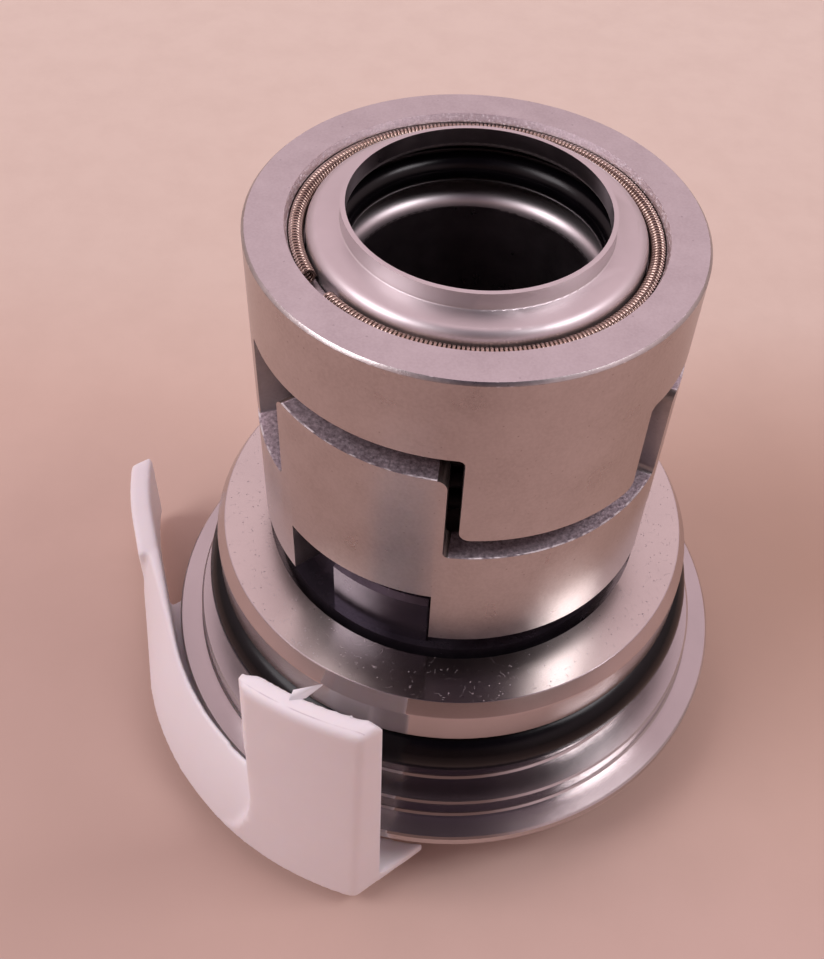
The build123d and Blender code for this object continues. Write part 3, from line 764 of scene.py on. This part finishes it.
# The room: a pale lilac ceiling, brown low down in front, and dark where the onlooker stands
roomLook = {
    "low": (0.50, 0.38, 0.35), "high": (1.18, 0.88, 0.95), "highFrom": 0.6, "strength": 0.80,
    "dims": [
        {"side": (0.0, -0.97, 0.24), "edge": (0.78, 0.93), "colour": (0.30, 0.18, 0.16)},
        {"side": (0.125, -0.385, 0.914), "edge": (0.77, 0.92), "colour": (0.042, 0.027, 0.056)},
    ],
}
world = bpy.data.worlds.new("studio")
world.use_nodes = True
background = world.node_tree.nodes["Background"]
direction = addNode(world, "ShaderNodeTexCoord").outputs["Generated"]
height = addNode(world, "ShaderNodeSeparateXYZ")
join(world, direction, height.inputs[0])
rise = valueRange(world, height.outputs["Z"], 0.0, roomLook["highFrom"], 0.0, 1.0)
room = colourRamp(world, rise, [(0.0, roomLook["low"]), (1.0, roomLook["high"])])
for dim in roomLook["dims"]:
    facing = addNode(world, "ShaderNodeVectorMath")
    facing.operation = "DOT_PRODUCT"
    join(world, direction, facing.inputs[0])
    facing.inputs[1].default_value = dim["side"]
    share = valueRange(world, facing.outputs["Value"], *dim["edge"], 0.0, 1.0)
    room = mixColours(world, share, room, dim["colour"])
join(world, room, background.inputs["Color"])
background.inputs["Strength"].default_value = roomLook["strength"]
bpy.context.scene.world = world

lampColour = (1.0, 0.95, 0.99)
lampAim = Vector((0, 0, 30 * mm))
lampLook = {
    "right": {"place": (0.345, -0.040, 0.53), "size": (0.20, 0.14), "power": 0.85},
    "left": {"place": (-0.38, -0.15, 0.50), "size": (0.26, 0.26), "power": 1.20},
}
for side, look in lampLook.items():
    lamp = bpy.data.lights.new(side + "Lamp", "AREA")
    lamp.shape = "RECTANGLE"
    lamp.size, lamp.size_y = look["size"]
    lamp.energy = look["power"]
    lamp.color = lampColour
    lampObject = bpy.data.objects.new(side + "Lamp", lamp)
    lampObject.location = look["place"]
    beam = lampAim - Vector(look["place"])
    lampObject.rotation_euler = beam.to_track_quat("-Z", "Y").to_euler()
    bpy.context.scene.collection.objects.link(lampObject)

cameraLook = {
    "place": (-0.00003, -0.0791, 0.1198), "pitch": 47.82, "roll": 5.0,
    "focalPixels": 1161.6, "centre": (457.9, 453.0), "frame": (824, 959),
    "sensor": 36.0, "nearClip": 5 * mm,
}
pitch = math.radians(cameraLook["pitch"])
roll = math.radians(cameraLook["roll"])
right = Vector((math.cos(roll), math.sin(roll) * math.sin(pitch), math.sin(roll) * math.cos(pitch)))
up = Vector((-math.sin(roll), math.cos(roll) * math.sin(pitch), math.cos(roll) * math.cos(pitch)))
back = right.cross(up)
camera = bpy.data.cameras.new("camera")
frameWidth, frameHeight = cameraLook["frame"]
camera.sensor_width = cameraLook["sensor"]
camera.lens = cameraLook["focalPixels"] * camera.sensor_width / frameHeight
camera.shift_x = (frameWidth / 2 - cameraLook["centre"][0]) / frameHeight
camera.shift_y = (cameraLook["centre"][1] - frameHeight / 2) / frameHeight
camera.clip_start = cameraLook["nearClip"]
cameraObject = bpy.data.objects.new("camera", camera)
turn = Matrix((right, up, back)).transposed().to_4x4()
cameraObject.matrix_world = Matrix.Translation(cameraLook["place"]) @ turn
bpy.context.scene.collection.objects.link(cameraObject)
bpy.context.scene.camera = cameraObject
bpy.context.scene.view_settings.view_transform = "Standard"
print("stage and camera set")
